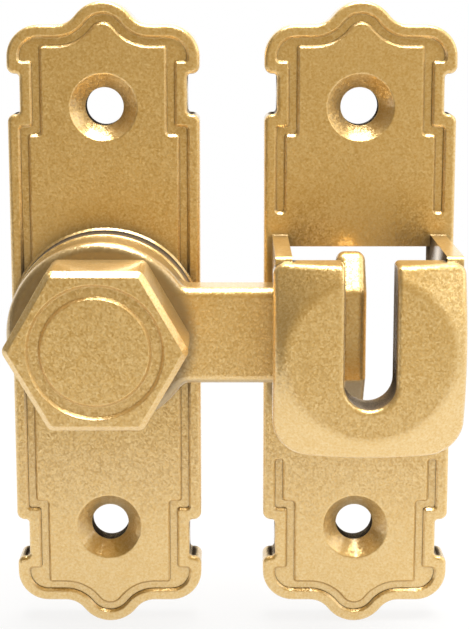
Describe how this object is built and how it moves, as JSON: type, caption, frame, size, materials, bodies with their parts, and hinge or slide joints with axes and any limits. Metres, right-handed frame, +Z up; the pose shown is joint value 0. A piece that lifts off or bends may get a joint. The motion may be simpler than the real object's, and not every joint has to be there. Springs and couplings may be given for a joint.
{
  "type": "sliding door lock",
  "caption": "Sliding door lock with ornate cast backplates: a hexagonal knob swings a T-headed arm up into a slotted keeper to hold the door shut.",
  "frame": {"origin": "on the pivot axis, midway between the latch plate's two screw holes, at its back face", "axes": "+X from the latch plate to the keeper, +Y into the door, +Z up the plates"},
  "size_m": [0.0654, 0.0259, 0.0944],
  "materials": {
    "gold_casting": "satin gold, sand textured",
    "plated_steel": "zinc plated",
    "spring_steel": "oiled",
    "nylon": "natural"
  },
  "bodies": {
    "base": {"latch_plate": "gold_casting", "keeper": "gold_casting", "thrust_washer": "nylon", "spring_washer": "spring_steel"},
    "latch": {"swing_arm": "gold_casting", "hex_knob": "gold_casting", "pivot_screw": "plated_steel", "retaining_washer": "plated_steel"}
  },
  "joints": [
    {"name": "arm_swing", "type": "hinge", "parent": "base", "child": "latch", "pos_m": [0, 0, 0], "axis": [0, 1, 0], "range_deg": [0, 310]}
  ]
}
